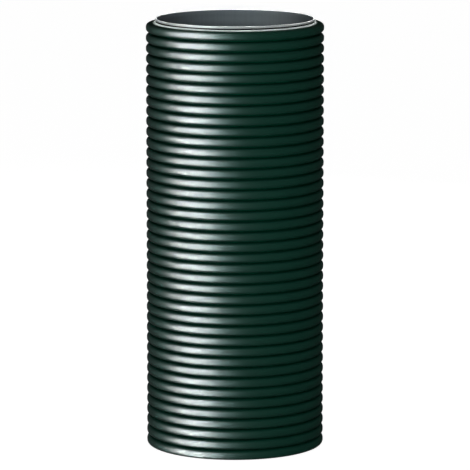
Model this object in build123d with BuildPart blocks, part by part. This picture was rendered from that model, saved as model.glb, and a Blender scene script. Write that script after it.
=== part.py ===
"""Twin-wall drainage pipe: a corrugated outer wall on a smooth inner liner, both extruded polyethylene.

The ribs are hollow rings at an even pitch. The valleys between them lie on the liner, where the two
walls are welded together as they leave the die. Both ends are cut in a valley. At the upper end the outer
wall is trimmed back further, which leaves a low land around the liner and the liner standing proud of it.
Millimetres, +Z up the axis, origin at the centre of the lower end.
"""

import os
from math import atan, hypot, pi, tan

from build123d import *

# Liner
bore_diameter = 175.0
liner_thickness = 1.8
liner_edge_rounding = 0.6
liner_stand = 4.0

# Outer wall: its ribs stand on the liner, 200 mm across the crests
wall_thickness = 1.2
rib_count = 41
rib_pitch = 11.75
rib_height = 9.5
crest_flat = 1.8
root_rounding = 0.5

# Gap between two ribs, at the valley and between the crests before they are rounded
valley_width = 1.4
mouth_width = 2.4

# What is left of the outer wall above the middle of the last valley
trimmed_land = 0.35

# Radii and heights that follow
bore_radius = bore_diameter / 2
liner_radius = bore_radius + liner_thickness
valley_radius = liner_radius + wall_thickness
crest_radius = valley_radius + rib_height
root_width = rib_pitch - valley_width
crest_width = rib_pitch - mouth_width
flank_slope = (root_width - crest_width) / 2 / rib_height
crest_rounding = (crest_width - crest_flat) / 2 / tan((pi / 2 - atan(flank_slope)) / 2)
ribs_length = rib_count * rib_pitch
outer_length = ribs_length + trimmed_land
pipe_length = outer_length + liner_stand

# The hollow of a rib keeps the wall's thickness square to each flank
flank_inset = wall_thickness * (hypot(1, flank_slope) - flank_slope)
hollow_radius = crest_radius - wall_thickness
hollow_root_width = root_width - 2 * flank_inset
hollow_crest_width = crest_width - 2 * flank_inset
hollow_rounding = crest_rounding - wall_thickness


def rib_line(valley, crest, foot_width, top_width):
    """Corners of a line along one pitch of wall, from below to above, as radius and height."""
    return [
        (valley, -rib_pitch / 2),
        (valley, -foot_width / 2),
        (crest, -top_width / 2),
        (crest, top_width / 2),
        (valley, foot_width / 2),
        (valley, rib_pitch / 2),
    ]


# One pitch of the outer wall's section: half a valley, a rib and half a valley
with BuildSketch() as rib_section:
    with BuildLine():
        outside = FilletPolyline(
            rib_line(valley_radius, crest_radius, root_width, crest_width),
            radius=[root_rounding, crest_rounding, crest_rounding, root_rounding],
        )
        inside = FilletPolyline(
            rib_line(liner_radius, hollow_radius, hollow_root_width, hollow_crest_width),
            radius=[0, hollow_rounding, hollow_rounding, 0],
        )
        Line(outside @ 0, inside @ 0)
        Line(outside @ 1, inside @ 1)
    make_face()

# Outer wall: the pitch repeated up the pipe, the trimmed land on top, turned about the axis
with BuildPart() as outer_wall:
    with BuildSketch(Plane.XZ):
        with Locations((0, ribs_length / 2)):
            with GridLocations(0, rib_pitch, 1, rib_count):
                add(rib_section.sketch)
        with Locations((liner_radius, ribs_length)):
            Rectangle(wall_thickness, trimmed_land, align=Align.MIN)
    revolve(axis=Axis.Z)
outer_wall.part.label = "outer_wall"

# Inner liner: a plain tube as long as the pipe, its upper cut edges eased
with BuildPart() as inner_liner:
    with BuildSketch():
        Circle(liner_radius)
        Circle(bore_radius, mode=Mode.SUBTRACT)
    extrude(amount=pipe_length)
    fillet(inner_liner.faces().sort_by(Axis.Z)[-1].edges(), radius=liner_edge_rounding)
inner_liner.part.label = "inner_liner"

os.makedirs("parts", exist_ok=True)
export_step(outer_wall.part, "parts/outer_wall.step")
export_step(inner_liner.part, "parts/inner_liner.step")
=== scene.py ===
"""Studio scene of a twin-wall drainage pipe standing on end.

The pipe has two walls, both extruded polyethylene. The outer wall is a row of hollow ribs, moulded
while the plastic is hot, and the inner liner is a smooth tube welded to it in every valley.
Metres, in the part's own frame: +Z up the pipe's axis, origin at the centre of the lower end.
"""

import logging
import math
from dataclasses import dataclass
from enum import Enum
from typing import Any

import bpy
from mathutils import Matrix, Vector

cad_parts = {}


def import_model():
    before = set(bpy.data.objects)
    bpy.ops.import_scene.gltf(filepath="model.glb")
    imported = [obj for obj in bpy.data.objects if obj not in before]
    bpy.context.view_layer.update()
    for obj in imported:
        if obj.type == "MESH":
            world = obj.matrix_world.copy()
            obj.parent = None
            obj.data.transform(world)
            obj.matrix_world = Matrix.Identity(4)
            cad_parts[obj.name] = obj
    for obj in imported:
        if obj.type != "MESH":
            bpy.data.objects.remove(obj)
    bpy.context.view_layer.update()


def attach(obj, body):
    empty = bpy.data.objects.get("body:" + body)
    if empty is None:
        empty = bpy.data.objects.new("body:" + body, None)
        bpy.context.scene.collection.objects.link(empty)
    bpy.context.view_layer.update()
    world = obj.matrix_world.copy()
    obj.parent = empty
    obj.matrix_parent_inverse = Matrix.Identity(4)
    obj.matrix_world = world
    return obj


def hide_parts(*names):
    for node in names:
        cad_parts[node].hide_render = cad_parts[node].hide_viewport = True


log = logging.getLogger("pipe")

MM = 0.001
BODY = "root"

# Points closer than this are welded, in millimetres
WELD_REACH = 0.01

# An edge that bends more than this stays hard, in degrees
HARD_EDGE = 38.0

# The arch v * (1 - v) across a lamp's panel is a quarter at its middle, and this brings it to 1
ARCH_GAIN = 4.0

Colour = tuple[float, float, float, float]


class Node(Enum):
    """The pipe's two walls, by the names of their nodes in the frame."""

    OUTER_WALL = "outer_wall"
    INNER_LINER = "inner_liner"


class Use(Enum):
    """What a lamp is for: even light on the colour, or the soft band that gloss mirrors."""

    COLOUR = "colour"
    SHEEN = "sheen"


class Outline(Enum):
    """The outline of a lamp's panel, by Blender's own names."""

    RECTANGLE = "RECTANGLE"
    ELLIPSE = "ELLIPSE"


def srgb(code: str) -> Colour:
    """Turn an sRGB hex colour to the linear values that shaders take.

    Args:
        code: six hex digits, such as "1f3b35".

    Returns:
        Linear red, green and blue, and an alpha of 1.
    """
    levels = [int(code[i : i + 2], 16) / 255 for i in (0, 2, 4)]
    linear = [v / 12.92 if v <= 0.04045 else ((v + 0.055) / 1.055) ** 2.4 for v in levels]
    return (linear[0], linear[1], linear[2], 1.0)


def toward(azimuth: float, elevation: float) -> Vector:
    """Give the direction from the pipe to a place in the studio.

    Args:
        azimuth: degrees round the pipe from the camera's side, positive to the camera's right.
        elevation: degrees above the floor.

    Returns:
        A vector of length 1.
    """
    around, up = math.radians(azimuth), math.radians(elevation)
    level = math.cos(up)
    return Vector((math.sin(around) * level, -math.cos(around) * level, math.sin(up)))


def add_node(
    tree: bpy.types.NodeTree, kind: str, inputs: dict[Any, Any] | None = None, **settings: Any
) -> Any:
    """Add one node with its settings, values and links.

    Args:
        tree: the node tree that gets the node.
        kind: the node's type name.
        inputs: what goes into each input, by its name or number. A socket, or a node's first output,
            is linked, and anything else is set.
        settings: the node's own properties, such as operation.

    Returns:
        The new node.
    """
    node = tree.nodes.new(kind)
    for name, value in settings.items():
        setattr(node, name, value)
    for key, value in (inputs or {}).items():
        source = value.outputs[0] if isinstance(value, bpy.types.Node) else value
        if isinstance(source, bpy.types.NodeSocket):
            tree.links.new(source, node.inputs[key])
        else:
            node.inputs[key].default_value = source
    return node


def geometry_tree(name: str, values: dict[str, Any]) -> tuple[bpy.types.NodeTree, Any]:
    """Start a Geometry Nodes tree with one named input for each value.

    Args:
        name: the tree's name.
        values: the lengths in metres, counts and material that the tree takes, by name.

    Returns:
        The tree, and the outputs of its Group Input node.
    """
    kinds = {float: "NodeSocketFloat", int: "NodeSocketInt", bpy.types.Material: "NodeSocketMaterial"}
    tree = bpy.data.node_groups.new(name, "GeometryNodeTree")
    tree.interface.new_socket("Geometry", in_out="OUTPUT", socket_type="NodeSocketGeometry")
    for label, value in values.items():
        tree.interface.new_socket(label, in_out="INPUT", socket_type=kinds[type(value)])
    return tree, tree.nodes.new("NodeGroupInput").outputs


def run_tree(tree: bpy.types.NodeTree, name: str, values: dict[str, Any]) -> bpy.types.Object:
    """Run a Geometry Nodes tree and keep its result as a plain mesh object.

    Args:
        tree: the Geometry Nodes tree.
        name: the name of the finished object.
        values: the value of each of the tree's inputs, by its name.

    Returns:
        An object at the origin that holds the result, with no modifier on it.
    """
    piece = bpy.data.objects.new(name, bpy.data.meshes.new(name + "_seed"))
    bpy.context.scene.collection.objects.link(piece)
    modifier = piece.modifiers.new("sizes", "NODES")
    modifier.node_group = tree
    for item in tree.interface.items_tree:
        if item.in_out == "INPUT":
            modifier[item.identifier] = values[item.name]
    graph = bpy.context.evaluated_depsgraph_get()
    mesh = bpy.data.meshes.new_from_object(piece.evaluated_get(graph), depsgraph=graph)
    piece.modifiers.remove(modifier)
    piece.data = mesh
    mesh.name = name
    return piece


def rounded_line(
    tree: bpy.types.NodeTree, corners: list[tuple[Any, Any]], roundings: list[Any], steps: list[int]
) -> Any:
    """Add the nodes for a line through some corners, each of them rounded.

    Args:
        tree: the Geometry Nodes tree.
        corners: how far out and how far down the pipe each corner lies.
        roundings: the radius at each corner. Those of the two ends aren't used.
        steps: how many straight pieces make each rounding.

    Returns:
        The node whose first output is the finished curve.
    """
    index = add_node(tree, "GeometryNodeInputIndex")
    places = [add_node(tree, "ShaderNodeCombineXYZ", {"X": out, "Y": down}) for out, down in corners]
    chosen = []
    for kind, options in (("VECTOR", places), ("FLOAT", roundings), ("INT", steps)):
        choice = add_node(tree, "GeometryNodeIndexSwitch", {"Index": index}, data_type=kind)
        while len(choice.index_switch_items) < len(options):
            choice.index_switch_items.new()
        for i, option in enumerate(options):
            source = option.outputs[0] if isinstance(option, bpy.types.Node) else option
            if isinstance(source, bpy.types.NodeSocket):
                tree.links.new(source, choice.inputs[str(i)])
            else:
                choice.inputs[str(i)].default_value = source
        chosen.append(choice)
    points = add_node(tree, "GeometryNodePoints", {"Count": len(corners), "Position": chosen[0]})
    line = add_node(tree, "GeometryNodePointsToCurves", {"Points": points, "Weight": index})
    return add_node(
        tree, "GeometryNodeFilletCurve", {"Curve": line, "Radius": chosen[1], "Count": chosen[2]}, mode="POLY"
    )


def turned(tree: bpy.types.NodeTree, line: Any, radius: Any, sides: Any) -> Any:
    """Add the nodes that turn a line about the pipe's axis, faces outward for a line that runs down it.

    Args:
        tree: the Geometry Nodes tree.
        line: the line's curve, whose X runs out from the radius and whose Y runs down the pipe.
        radius: the radius that X is measured from.
        sides: the number of sides all round.

    Returns:
        The node whose first output is the turned mesh.
    """
    path = add_node(tree, "GeometryNodeCurvePrimitiveCircle", {"Resolution": sides, "Radius": radius})
    return add_node(tree, "GeometryNodeCurveToMesh", {"Curve": path, "Profile Curve": line})


def close_tree(tree: bpy.types.NodeTree, strips: list[Any], material: Any) -> None:
    """Weld turned strips into one shell, keep its hard edges hard and give it its material.

    Args:
        tree: the Geometry Nodes tree.
        strips: the nodes of the strips, whose edges meet.
        material: the socket that holds the material.
    """
    joined = add_node(tree, "GeometryNodeJoinGeometry")
    for strip in strips:
        tree.links.new(strip.outputs[0], joined.inputs[0])
    real = add_node(tree, "GeometryNodeRealizeInstances", {"Geometry": joined})
    welded = add_node(tree, "GeometryNodeMergeByDistance", {"Geometry": real, "Distance": WELD_REACH * MM})
    bend = add_node(tree, "GeometryNodeInputMeshEdgeAngle")
    hard = add_node(
        tree,
        "FunctionNodeCompare",
        {"A": bend, "B": math.radians(HARD_EDGE)},
        data_type="FLOAT",
        operation="GREATER_THAN",
    )
    smooth = add_node(tree, "GeometryNodeSetShadeSmooth", {"Geometry": welded, "Shade Smooth": True})
    edged = add_node(
        tree,
        "GeometryNodeSetShadeSmooth",
        {"Geometry": smooth, "Selection": hard, "Shade Smooth": False},
        domain="EDGE",
    )
    dressed = add_node(tree, "GeometryNodeSetMaterial", {"Geometry": edged, "Material": material})
    add_node(tree, "NodeGroupOutput", {0: dressed})


def streaks(tree: bpy.types.NodeTree, place: Any, around: float, along: float, detail: float) -> Any:
    """Add the nodes for noise that is drawn out round the pipe or along it.

    Args:
        tree: the material's node tree.
        place: the Object coordinates.
        around: the length of a streak across the pipe's axis, in metres.
        along: its length along the axis, in metres.
        detail: how many finer layers it has.

    Returns:
        The noise node.
    """
    drawn = add_node(
        tree,
        "ShaderNodeVectorMath",
        {0: place, 1: (1 / around, 1 / around, 1 / along)},
        operation="MULTIPLY",
    )
    return add_node(tree, "ShaderNodeTexNoise", {"Vector": drawn, "Scale": 1.0, "Detail": detail})


def start_finish(name: str) -> tuple[bpy.types.Material, Any, Any, Any]:
    """Start a material and measure the place of each point of the pipe.

    Args:
        name: the material's name.

    Returns:
        The material, the Object coordinates, the height up the pipe and the distance from its axis.
    """
    material = bpy.data.materials.new(name)
    material.use_nodes = True
    tree = material.node_tree
    place = add_node(tree, "ShaderNodeTexCoord").outputs["Object"]
    height = add_node(tree, "ShaderNodeSeparateXYZ", {0: place}).outputs["Z"]
    across = add_node(tree, "ShaderNodeVectorMath", {0: place, 1: (1.0, 1.0, 0.0)}, operation="MULTIPLY")
    radius = add_node(tree, "ShaderNodeVectorMath", {0: across}, operation="LENGTH").outputs["Value"]
    return material, place, height, radius


def end_finish(material: bpy.types.Material, tone: Any, roughness: Any, gloss: Any, ior: float) -> None:
    """Give a material's shader what was worked out for it.

    Args:
        material: the material.
        tone: the socket of its colour.
        roughness: the socket of its roughness.
        gloss: the socket of its level of specular light.
        ior: its index of refraction.
    """
    tree = material.node_tree
    shader = tree.nodes["Principled BSDF"]
    tree.links.new(tone, shader.inputs["Base Color"])
    tree.links.new(roughness, shader.inputs["Roughness"])
    tree.links.new(gloss, shader.inputs["Specular IOR Level"])
    shader.inputs["IOR"].default_value = ior


@dataclass(frozen=True)
class RibbedPolyethylene:
    """Extruded high-density polyethylene, dark green, drawn against moulds while it is hot.

    A waxy plastic with a soft satin gloss, which gives each rib one long streak of light with blurred
    ends. Fine lines run round each rib where it slid over the mould, the colour is faintly clouded, the
    grooves carry painted shade in a deep, saturated green, and the trimmed upper edge shows pale,
    stressed plastic that is partly a painted highlight along the rim.
    """

    name: str = "green_ribbed_polyethylene"
    body: str = "0a2f25"
    clouded: str = "0e362b"
    # The valley's deep, saturated green is painted shade, the look of the grooves where light doesn't reach
    valley: str = "003424"
    # The trimmed edge's pale tone is partly the cut plastic and partly a painted highlight along the rim
    trimmed: str = "c9d2cf"
    ior: float = 1.54

    # Roughness of the satin skin and of the trimmed edge. Lines and clouds together run from about
    # mottle_low to mottle_high, and move the skin's roughness up and down by its range.
    roughness: float = 0.3
    roughness_range: float = 0.02
    mottle_low: float = 0.6
    mottle_high: float = 1.4
    trimmed_roughness: float = 0.5

    # Mould lines are tenths of a millimetre apart, and are drawn 1.3 mm apart so that they show
    line_spacing: float = 1.3 * MM
    line_length: float = 70.0 * MM
    line_detail: float = 2.0

    # The pigment lies in faint clouds of a few centimetres, half as high as they are wide
    cloud_size: float = 40.0 * MM
    cloud_height: float = 20.0 * MM
    cloud_detail: float = 3.0

    # Painted shade: the flanks of a rib turn to the valley's deeper colour, which stands in for how the
    # grooves look in shade, between these two distances from the axis
    darkens_from: float = 96.5 * MM
    dark_within: float = 92.5 * MM

    # They lose their gloss between these two, so that the grooves stay near black
    glossy_beyond: float = 99.0 * MM
    dull_within: float = 96.8 * MM
    crest_gloss: float = 0.5
    valley_gloss: float = 0.03

    # The pale trimmed edge lies above this height and within this distance from the axis. Its paleness
    # is partly a painted highlight along the rim.
    trimmed_above: float = 480.5 * MM
    trimmed_within: float = 92.0 * MM

    def material(self) -> bpy.types.Material:
        """Build the shader.

        Returns:
            The finished material.
        """
        material, place, height, radius = start_finish(self.name)
        tree = material.node_tree
        clouds = streaks(tree, place, self.cloud_size, self.cloud_height, self.cloud_detail)
        lines = streaks(tree, place, self.line_length, self.line_spacing, self.line_detail)
        # Painted shade, from nothing at the crests' shoulders to full in the valleys
        groove_shade = add_node(
            tree,
            "ShaderNodeMapRange",
            {"Value": radius, "From Min": self.darkens_from, "From Max": self.dark_within},
        )
        high = add_node(tree, "ShaderNodeMath", {0: height, 1: self.trimmed_above}, operation="GREATER_THAN")
        inside = add_node(tree, "ShaderNodeMath", {0: radius, 1: self.trimmed_within}, operation="LESS_THAN")
        trimmed = add_node(tree, "ShaderNodeMath", {0: high, 1: inside}, operation="MULTIPLY")
        gloss = add_node(
            tree,
            "ShaderNodeMapRange",
            {
                "Value": radius,
                "From Min": self.dull_within,
                "From Max": self.glossy_beyond,
                "To Min": self.valley_gloss,
                "To Max": self.crest_gloss,
            },
        )
        skin = add_node(
            tree,
            "ShaderNodeMix",
            {"Factor": clouds, 6: srgb(self.body), 7: srgb(self.clouded)},
            data_type="RGBA",
        )
        # Lay the painted shade over the skin in the grooves
        shaded = add_node(
            tree,
            "ShaderNodeMix",
            {"Factor": groove_shade, 6: skin.outputs[2], 7: srgb(self.valley)},
            data_type="RGBA",
        )
        # The pale trimmed edge, partly a painted highlight
        tone = add_node(
            tree,
            "ShaderNodeMix",
            {"Factor": trimmed, 6: shaded.outputs[2], 7: srgb(self.trimmed)},
            data_type="RGBA",
        )
        drawn = add_node(tree, "ShaderNodeMath", {0: clouds, 1: lines}, operation="ADD")
        satin = add_node(
            tree,
            "ShaderNodeMapRange",
            {
                "Value": drawn,
                "From Min": self.mottle_low,
                "From Max": self.mottle_high,
                "To Min": self.roughness - self.roughness_range,
                "To Max": self.roughness + self.roughness_range,
            },
        )
        dull = add_node(
            tree,
            "ShaderNodeMix",
            {"Factor": trimmed, 2: satin, 3: self.trimmed_roughness},
            data_type="FLOAT",
        )
        end_finish(material, tone.outputs[2], dull.outputs[0], gloss.outputs[0], self.ior)
        return material


@dataclass(frozen=True)
class LinerPolyethylene:
    """Extruded high-density polyethylene, dark grey, drawn over a smooth mandrel.

    A flat, dull skin that shades softly round the bore, with faint rings at the ribs' pitch where it
    cooled. Its end is scuffed grey on the outside and pale on the cut face, whose paleness is partly a
    painted highlight that gives the thin bright line of the rim. A band at its foot, where the outer
    wall was trimmed away, is painted near black as shade.
    """

    name: str = "grey_liner_polyethylene"
    body: str = "5a6266"
    ringed: str = "50585c"
    scuffed: str = "8d9391"
    # Painted shade: the near-black band at the foot of the end, where it meets the trimmed outer wall
    foot: str = "101314"
    # The cut face's pale tone is partly the cut plastic and partly a painted highlight, the rim's thin bright
    # line
    cut: str = "dfe4e2"
    ior: float = 1.54

    # Roughness and gloss of the bore, of the cut end and of the foot's band of painted shade
    roughness: float = 0.55
    cut_roughness: float = 0.4
    bore_gloss: float = 0.12
    cut_gloss: float = 0.5
    foot_gloss: float = 0.05

    # The rings lie at the ribs' pitch. Draw streaks are finer than a millimetre, and are drawn 2.5 mm
    # wide so that they show.
    ring_spacing: float = 11.75 * MM
    ring_strength: float = 0.25
    streak_width: float = 2.5 * MM
    streak_length: float = 90.0 * MM
    streak_detail: float = 2.0

    # The bore's skin lies within this distance from the axis. Above these heights the outside is
    # scuffed, and the end is cut. Below the first, the outside carries the foot's painted shade.
    skin_within: float = 88.1 * MM
    scuffed_above: float = 483.9 * MM
    cut_above: float = 485.95 * MM

    def material(self) -> bpy.types.Material:
        """Build the shader.

        Returns:
            The finished material.
        """
        material, place, height, radius = start_finish(self.name)
        tree = material.node_tree
        streaked = streaks(tree, place, self.streak_width, self.streak_length, self.streak_detail)
        turns = add_node(
            tree, "ShaderNodeMath", {0: height, 1: math.tau / self.ring_spacing}, operation="MULTIPLY"
        )
        wave = add_node(tree, "ShaderNodeMath", {0: turns}, operation="COSINE")
        wavy = add_node(
            tree, "ShaderNodeMath", {0: wave, 1: self.ring_strength, 2: streaked}, operation="MULTIPLY_ADD"
        )
        outside = add_node(tree, "ShaderNodeMath", {0: radius, 1: self.skin_within}, operation="GREATER_THAN")
        high = add_node(tree, "ShaderNodeMath", {0: height, 1: self.scuffed_above}, operation="GREATER_THAN")
        cut = add_node(tree, "ShaderNodeMath", {0: height, 1: self.cut_above}, operation="GREATER_THAN")
        skin = add_node(
            tree,
            "ShaderNodeMix",
            {"Factor": wavy, 6: srgb(self.body), 7: srgb(self.ringed)},
            data_type="RGBA",
        )
        # Below the scuffed band the outside takes the foot's painted shade
        outer = add_node(
            tree,
            "ShaderNodeMix",
            {"Factor": high, 6: srgb(self.foot), 7: srgb(self.scuffed)},
            data_type="RGBA",
        )
        worn = add_node(
            tree,
            "ShaderNodeMix",
            {"Factor": outside, 6: skin.outputs[2], 7: outer.outputs[2]},
            data_type="RGBA",
        )
        # The pale cut face, partly a painted highlight
        tone = add_node(
            tree,
            "ShaderNodeMix",
            {"Factor": cut, 6: worn.outputs[2], 7: srgb(self.cut)},
            data_type="RGBA",
        )
        dull = add_node(
            tree,
            "ShaderNodeMix",
            {"Factor": outside, 2: self.roughness, 3: self.cut_roughness},
            data_type="FLOAT",
        )
        # The band of painted shade at the foot also loses its gloss
        low = add_node(tree, "ShaderNodeMath", {0: 1.0, 1: high}, operation="SUBTRACT")
        shadowed = add_node(tree, "ShaderNodeMath", {0: low, 1: outside}, operation="MULTIPLY")
        sheen = add_node(
            tree,
            "ShaderNodeMapRange",
            {"Value": outside, "To Min": self.bore_gloss, "To Max": self.cut_gloss},
        )
        gloss = add_node(
            tree,
            "ShaderNodeMix",
            {"Factor": shadowed, 2: sheen, 3: self.foot_gloss},
            data_type="FLOAT",
        )
        end_finish(material, tone.outputs[2], dull.outputs[0], gloss.outputs[0], self.ior)
        return material


@dataclass
class OuterWall:
    """The corrugated outer wall, in millimetres: hollow ribs at an even pitch and the land above them."""

    finish: RibbedPolyethylene
    liner_radius: float = 89.3
    wall_thickness: float = 1.2
    rib_count: int = 41
    rib_pitch: float = 11.75
    rib_height: float = 9.5
    crest_flat: float = 1.8
    root_rounding: float = 0.5
    valley_width: float = 1.4
    mouth_width: float = 2.4
    trimmed_land: float = 0.35
    sides: int = 82
    root_steps: int = 2
    crest_steps: int = 6
    hollow_steps: int = 1

    def lengths(self) -> dict[str, float]:
        """Work out the lengths that the tree takes.

        Returns:
            Each length in millimetres, by the name of the tree's input.
        """
        slope = (self.mouth_width - self.valley_width) / 2 / self.rib_height
        inset = self.wall_thickness * (math.hypot(1, slope) - slope)
        half_foot = (self.rib_pitch - self.valley_width) / 2
        half_top = (self.rib_pitch - self.mouth_width) / 2
        rounding = (half_top - self.crest_flat / 2) / math.tan((math.pi / 2 - math.atan(slope)) / 2)
        return {
            "Liner Radius": self.liner_radius,
            "Wall": self.wall_thickness,
            "Pitch": self.rib_pitch,
            "Half Pitch": self.rib_pitch / 2,
            "Half Foot": half_foot,
            "Half Top": half_top,
            "Crest": self.wall_thickness + self.rib_height,
            "Crest Rounding": rounding,
            "Root Rounding": self.root_rounding,
            "Half Hollow Foot": half_foot - inset,
            "Half Hollow Top": half_top - inset,
            "Hollow Crest": self.rib_height,
            "Hollow Rounding": rounding - self.wall_thickness,
            "Land Top": -self.trimmed_land,
        }

    @staticmethod
    def rib_line(
        tree: bpy.types.NodeTree,
        low: Any,
        high: Any,
        halves: list[Any],
        roundings: list[Any],
        steps: list[int],
    ) -> Any:
        """Add one surface of a rib, with half a valley on each side, running down the pipe.

        Args:
            tree: the Geometry Nodes tree.
            low: how far out the valley lies.
            high: how far out the crest lies.
            halves: half the pitch, half the rib's foot and half its top.
            roundings: the radius at the root and at the crest.
            steps: how many straight pieces make each of these roundings.

        Returns:
            The node of the surface's line.
        """
        above = [
            add_node(tree, "ShaderNodeMath", {0: half, 1: -1.0}, operation="MULTIPLY") for half in halves
        ]
        corners = [(low, above[0]), (low, above[1]), (high, above[2])]
        corners += [(high, halves[2]), (low, halves[1]), (low, halves[0])]
        root, crest = roundings
        few, many = steps
        return rounded_line(tree, corners, [0.0, root, crest, crest, root, 0.0], [1, few, many, many, few, 1])

    def rib(self, tree: bpy.types.NodeTree, given: Any) -> Any:
        """Add one hollow rib with half a valley on each side.

        Args:
            tree: the Geometry Nodes tree.
            given: the outputs of its Group Input node.

        Returns:
            The node whose first output is the rib, its middle at the origin.
        """
        radius, sides, half_pitch = given["Liner Radius"], given["Sides"], given["Half Pitch"]
        outer_line = self.rib_line(
            tree,
            given["Wall"],
            given["Crest"],
            [half_pitch, given["Half Foot"], given["Half Top"]],
            [given["Root Rounding"], given["Crest Rounding"]],
            [self.root_steps, self.crest_steps],
        )
        hollow_line = self.rib_line(
            tree,
            0.0,
            given["Hollow Crest"],
            [half_pitch, given["Half Hollow Foot"], given["Half Hollow Top"]],
            [0.0, given["Hollow Rounding"]],
            [self.hollow_steps, self.hollow_steps],
        )
        rib = add_node(tree, "GeometryNodeJoinGeometry", {0: turned(tree, outer_line, radius, sides)})
        hollow = add_node(tree, "GeometryNodeFlipFaces", {"Mesh": turned(tree, hollow_line, radius, sides)})
        tree.links.new(hollow.outputs[0], rib.inputs[0])
        return rib

    @staticmethod
    def ends(tree: bpy.types.NodeTree, given: Any) -> list[Any]:
        """Add what closes the wall: the cut face of its foot and the trimmed land at its top.

        Args:
            tree: the Geometry Nodes tree.
            given: the outputs of its Group Input node.

        Returns:
            The nodes whose first outputs are the two ends.
        """
        wall, radius, sides, land_top = (
            given[label] for label in ("Wall", "Liner Radius", "Sides", "Land Top")
        )
        foot_line = rounded_line(tree, [(wall, 0.0), (0.0, 0.0)], [0.0] * 2, [1] * 2)
        land_corners = [(0.0, 0.0), (0.0, land_top), (wall, land_top), (wall, 0.0)]
        land_line = rounded_line(tree, land_corners, [0.0] * 4, [1] * 4)
        height = add_node(tree, "ShaderNodeMath", {0: given["Ribs"], 1: given["Pitch"]}, operation="MULTIPLY")
        top = add_node(tree, "ShaderNodeCombineXYZ", {"Z": height})
        land = add_node(
            tree,
            "GeometryNodeTransform",
            {"Geometry": turned(tree, land_line, radius, sides), "Translation": top},
        )
        return [turned(tree, foot_line, radius, sides), land]

    def build(self) -> bpy.types.Object:
        """Repeat the rib up the pipe and close both ends.

        Returns:
            The wall's object.
        """
        values: dict[str, Any] = {label: length * MM for label, length in self.lengths().items()}
        values |= {"Ribs": self.rib_count, "Sides": self.sides, "Material": self.finish.material()}
        tree, given = geometry_tree("ribbed_wall", values)
        first = add_node(tree, "ShaderNodeCombineXYZ", {"Z": given["Half Pitch"]})
        step = add_node(tree, "ShaderNodeCombineXYZ", {"Z": given["Pitch"]})
        row = add_node(
            tree, "GeometryNodeMeshLine", {"Count": given["Ribs"], "Start Location": first, "Offset": step}
        )
        rib = self.rib(tree, given)
        ribs = add_node(tree, "GeometryNodeInstanceOnPoints", {"Points": row, "Instance": rib})
        close_tree(tree, [ribs, *self.ends(tree, given)], given["Material"])
        piece = run_tree(tree, "corrugated_wall", values)
        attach(piece, BODY)
        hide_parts(Node.OUTER_WALL.value)
        return piece


@dataclass
class Liner:
    """The smooth inner liner, in millimetres, with the faint ripple that the ribs leave in its bore."""

    finish: LinerPolyethylene
    bore_radius: float = 87.5
    thickness: float = 1.8
    length: float = 486.1
    edge_rounding: float = 0.6
    ripple_pitch: float = 11.75
    ripple_depth: float = 0.12
    rows: int = 290
    sides: int = 112
    edge_steps: int = 4

    def lengths(self) -> dict[str, float]:
        """Work out the lengths that the tree takes.

        Returns:
            Each length in millimetres, by the name of the tree's input.
        """
        return {
            "Bore Radius": self.bore_radius,
            "Thickness": self.thickness,
            "Top": -self.length,
            "Shoulder": -self.length + 2 * self.edge_rounding,
            "Edge Rounding": self.edge_rounding,
            "Ripple Pitch": self.ripple_pitch,
            "Ripple Depth": self.ripple_depth,
        }

    def rim(self, tree: bpy.types.NodeTree, given: Any) -> Any:
        """Add the line over the rounded upper end, down the outside and across the foot.

        Args:
            tree: the Geometry Nodes tree.
            given: the outputs of its Group Input node.

        Returns:
            The node of the line.
        """
        thick, edge, top, shoulder = (
            given[label] for label in ("Thickness", "Edge Rounding", "Top", "Shoulder")
        )
        return rounded_line(
            tree,
            [(0.0, shoulder), (0.0, top), (thick, top), (thick, 0.0), (0.0, 0.0)],
            [0.0, edge, edge, 0.0, 0.0],
            [1, self.edge_steps, self.edge_steps, 1, 1],
        )

    @staticmethod
    def bore(tree: bpy.types.NodeTree, given: Any) -> Any:
        """Add the line up the bore, which swells outward under each rib.

        Args:
            tree: the Geometry Nodes tree.
            given: the outputs of its Group Input node.

        Returns:
            The node of the line.
        """
        end = add_node(tree, "ShaderNodeCombineXYZ", {"Y": given["Shoulder"]})
        straight = add_node(tree, "GeometryNodeCurvePrimitiveLine", {"End": end})
        row = add_node(tree, "GeometryNodeResampleCurve", {"Curve": straight, "Count": given["Rows"]})
        down = add_node(tree, "ShaderNodeSeparateXYZ", {0: add_node(tree, "GeometryNodeInputPosition")})
        ripples = add_node(
            tree, "ShaderNodeMath", {0: down.outputs["Y"], 1: given["Ripple Pitch"]}, operation="DIVIDE"
        )
        angle = add_node(tree, "ShaderNodeMath", {0: ripples, 1: math.tau}, operation="MULTIPLY")
        wave = add_node(tree, "ShaderNodeMath", {0: angle}, operation="COSINE")

        # From 0 in each valley to 1 under the middle of each rib
        swell = add_node(tree, "ShaderNodeMath", {0: wave, 1: -0.5, 2: 0.5}, operation="MULTIPLY_ADD")
        depth = add_node(tree, "ShaderNodeMath", {0: swell, 1: given["Ripple Depth"]}, operation="MULTIPLY")
        outward = add_node(tree, "ShaderNodeCombineXYZ", {"X": depth})
        ends = add_node(tree, "GeometryNodeCurveEndpointSelection")
        between = add_node(tree, "FunctionNodeBooleanMath", {0: ends}, operation="NOT")
        return add_node(
            tree, "GeometryNodeSetPosition", {"Geometry": row, "Selection": between, "Offset": outward}
        )

    def build(self) -> bpy.types.Object:
        """Turn the liner's section about the axis.

        Returns:
            The liner's object.
        """
        values: dict[str, Any] = {label: length * MM for label, length in self.lengths().items()}
        values |= {"Rows": self.rows, "Sides": self.sides, "Material": self.finish.material()}
        tree, given = geometry_tree("liner", values)
        radius, sides = given["Bore Radius"], given["Sides"]
        lines = (self.rim(tree, given), self.bore(tree, given))
        close_tree(tree, [turned(tree, line, radius, sides) for line in lines], given["Material"])
        piece = run_tree(tree, "smooth_liner", values)
        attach(piece, BODY)
        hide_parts(Node.INNER_LINER.value)
        return piece


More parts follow.
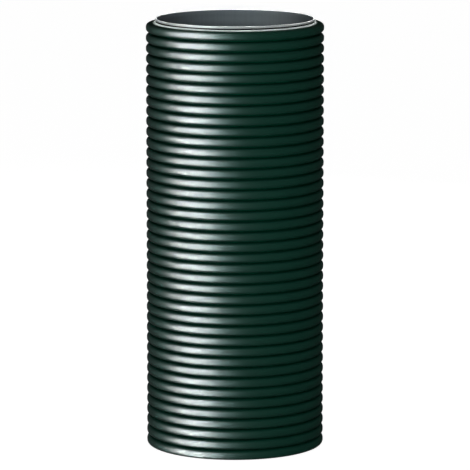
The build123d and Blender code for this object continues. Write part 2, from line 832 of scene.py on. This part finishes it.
@dataclass(frozen=True)
class Lamp:
    """A soft studio panel that is brightest at its own middle, turned to the place that it lights.

    Lengths are in metres, angles in degrees and power in watts. The panel hangs at its distance from
    its aim. A higher fade gathers its light nearer to its middle, a fade of 0 leaves it even, and its
    spread is the angle that its light fills.
    """

    name: str
    use: Use
    azimuth: float
    elevation: float
    distance: float
    width: float
    height: float
    power: float
    fade_across: float = 1.0
    fade_up: float = 1.0
    tint: str = "ffffff"
    spread: float = 180.0
    aim: tuple[float, float, float] = (0.0, 0.0, 0.24)
    outline: Outline = Outline.RECTANGLE

    def build(self) -> bpy.types.Object:
        """Hang the lamp.

        Returns:
            The lamp's object.
        """
        light = bpy.data.lights.new(self.name, "AREA")
        light.shape = self.outline.value
        light.size = self.width
        light.size_y = self.height
        light.energy = self.power
        light.spread = math.radians(self.spread)
        light.color = srgb(self.tint)[:3]
        light.cycles.use_multiple_importance_sampling = False
        light.use_nodes = True
        tree = light.node_tree
        place = add_node(tree, "ShaderNodeNewGeometry").outputs["Parametric"]
        panel = add_node(tree, "ShaderNodeSeparateXYZ", {0: place})
        bright: Any = 1.0
        for axis, fade in (("X", self.fade_across), ("Y", self.fade_up)):
            rest = add_node(tree, "ShaderNodeMath", {0: 1.0, 1: panel.outputs[axis]}, operation="SUBTRACT")
            arch = add_node(tree, "ShaderNodeMath", {0: panel.outputs[axis], 1: rest}, operation="MULTIPLY")
            full = add_node(tree, "ShaderNodeMath", {0: arch, 1: ARCH_GAIN}, operation="MULTIPLY")
            faded = add_node(tree, "ShaderNodeMath", {0: full, 1: fade}, operation="POWER")
            bright = add_node(tree, "ShaderNodeMath", {0: faded, 1: bright}, operation="MULTIPLY")
        tree.links.new(bright.outputs[0], tree.nodes["Emission"].inputs["Strength"])
        lamp = bpy.data.objects.new(self.name, light)
        direction = toward(self.azimuth, self.elevation)
        lamp.location = Vector(self.aim) + direction * self.distance
        lamp.rotation_euler = (-direction).to_track_quat("-Z", "Y").to_euler()
        lamp.visible_camera = False
        lamp.visible_glossy = self.use is Use.SHEEN
        lamp.visible_diffuse = self.use is Use.COLOUR
        bpy.context.scene.collection.objects.link(lamp)
        return lamp


# The sheen panels give the ribs their highlights: one broad bright band, a dimmer flank on its right and
# a faint green edge on the far left. The colour panels light the plastic evenly from the front, the inside
# of the mouth from close by, the cut faces that look straight up, and the back.
LAMPS = (
    Lamp(
        "sheen_panel",
        Use.SHEEN,
        azimuth=-58.5,
        elevation=0.0,
        distance=2.0,
        width=3.6,
        height=9.0,
        power=1980.0,
        fade_across=2.5,
        fade_up=2.5,
        tint="fbffff",
    ),
    Lamp(
        "right_wash",
        Use.SHEEN,
        azimuth=-38.0,
        elevation=0.0,
        distance=2.0,
        width=4.0,
        height=9.0,
        power=320.0,
        fade_across=2.2,
        fade_up=2.5,
        tint="c0ffff",
    ),
    Lamp(
        "left_wash",
        Use.SHEEN,
        azimuth=-97.0,
        elevation=0.0,
        distance=2.0,
        width=3.6,
        height=9.0,
        power=34.0,
        fade_across=2.5,
        fade_up=2.5,
        tint="98ffee",
    ),
    Lamp(
        "key_panel",
        Use.COLOUR,
        azimuth=-18.0,
        elevation=9.0,
        distance=1.6,
        width=1.1,
        height=0.6,
        power=27.0,
    ),
    Lamp(
        "fill_panel",
        Use.COLOUR,
        azimuth=40.0,
        elevation=8.0,
        distance=1.8,
        width=2.4,
        height=0.5,
        power=20.0,
    ),
    Lamp(
        "mouth_panel",
        Use.COLOUR,
        azimuth=0.0,
        elevation=34.0,
        distance=0.26,
        width=0.1,
        height=0.06,
        power=0.045,
        spread=40.0,
        aim=(0.004, 0.087, 0.474),
    ),
    Lamp(
        "rim_beam",
        Use.COLOUR,
        azimuth=0.0,
        elevation=90.0,
        distance=0.4,
        width=0.181,
        height=0.181,
        power=0.12,
        fade_across=0.0,
        fade_up=0.0,
        spread=1.0,
        outline=Outline.ELLIPSE,
    ),
    Lamp(
        "back_panel",
        Use.COLOUR,
        azimuth=152.0,
        elevation=16.0,
        distance=1.8,
        width=1.2,
        height=1.2,
        power=13.0,
    ),
)


@dataclass
class Studio:
    """A pale floor, a white surround, soft lamps and the camera.

    Lengths are in metres, apart from the lens and the sensor, which are in millimetres.
    """

    camera_distance: float = 4.4
    camera_height: float = 0.96
    camera_aim: float = 0.2397
    lens: float = 302.1
    sensor_width: float = 36.0
    floor_half: float = 6.0
    floor_colour: str = "959595"
    surround_colour: str = "ffffff"

    # The floor's own glow for the camera, which its lit colour brings to white
    floor_glow: float = 0.93

    # Strength of the surround as even light, as what gloss mirrors, and as the camera sees it
    ambient: float = 0.2
    shade: float = 0.02
    backdrop: float = 1.0

    def build(self) -> None:
        """Make everything round the pipe."""
        self.add_camera()
        self.add_world()
        self.add_floor()
        for lamp in LAMPS:
            lamp.build()
        bpy.context.scene.view_settings.view_transform = "Standard"

    def add_camera(self) -> None:
        """Place the camera at the photograph's angle."""
        data = bpy.data.cameras.new("camera")
        data.lens = self.lens
        data.sensor_width = self.sensor_width
        camera = bpy.data.objects.new("camera", data)
        camera.location = (0.0, -self.camera_distance, self.camera_height)
        view = Vector((0.0, 0.0, self.camera_aim)) - camera.location
        camera.rotation_euler = view.to_track_quat("-Z", "Y").to_euler()
        bpy.context.scene.collection.objects.link(camera)
        bpy.context.scene.camera = camera

    def add_world(self) -> None:
        """Surround the pipe with white for the camera, even light, and shade for gloss to mirror."""
        world = bpy.data.worlds.new("surround")
        world.use_nodes = True
        world.cycles.sampling_method = "NONE"
        bpy.context.scene.world = world
        tree = world.node_tree
        tree.nodes.clear()
        path = add_node(tree, "ShaderNodeLightPath")
        level = add_node(
            tree,
            "ShaderNodeMix",
            {"Factor": path.outputs["Is Glossy Ray"], 2: self.ambient, 3: self.shade},
            data_type="FLOAT",
        )
        tone = srgb(self.surround_colour)
        soft = add_node(tree, "ShaderNodeBackground", {"Color": tone, "Strength": level})
        white = add_node(tree, "ShaderNodeBackground", {"Color": tone, "Strength": self.backdrop})
        seen = add_node(tree, "ShaderNodeMixShader", {0: path.outputs["Is Camera Ray"], 1: soft, 2: white})
        add_node(tree, "ShaderNodeOutputWorld", {"Surface": seen})

    def add_floor(self) -> None:
        """Lay a pale floor that runs out into the white surround and isn't seen from below."""
        half = self.floor_half
        mesh = bpy.data.meshes.new("floor")
        corners = [(-half, -half, 0.0), (half, -half, 0.0), (half, half, 0.0), (-half, half, 0.0)]
        mesh.from_pydata(corners, [], [(0, 1, 2, 3)])
        floor = bpy.data.objects.new("floor", mesh)
        floor.visible_glossy = False
        floor.visible_shadow = False
        bpy.context.scene.collection.objects.link(floor)
        material = bpy.data.materials.new("floor")
        material.use_nodes = True
        tree = material.node_tree
        tree.nodes.clear()
        path = add_node(tree, "ShaderNodeLightPath")
        paper = add_node(tree, "ShaderNodeBsdfDiffuse", {"Color": srgb(self.floor_colour)})
        bright = add_node(
            tree,
            "ShaderNodeMath",
            {0: path.outputs["Is Camera Ray"], 1: self.floor_glow},
            operation="MULTIPLY",
        )
        glow = add_node(tree, "ShaderNodeEmission", {"Strength": bright})
        lit = add_node(tree, "ShaderNodeAddShader", {0: paper, 1: glow})
        clear = add_node(tree, "ShaderNodeBsdfTransparent")
        below = add_node(tree, "ShaderNodeNewGeometry").outputs["Backfacing"]
        seen = add_node(tree, "ShaderNodeMixShader", {0: below, 1: lit, 2: clear})
        add_node(tree, "ShaderNodeOutputMaterial", {"Surface": seen})
        mesh.materials.append(material)


def main() -> None:
    """Build the pipe and its studio."""
    logging.basicConfig(level=logging.INFO, format="%(message)s")
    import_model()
    for part in (OuterWall(RibbedPolyethylene()), Liner(LinerPolyethylene())):
        piece = part.build()
        log.info("%s: %d faces", piece.name, len(piece.data.polygons))
    Studio().build()


if __name__ == "__main__":
    main()
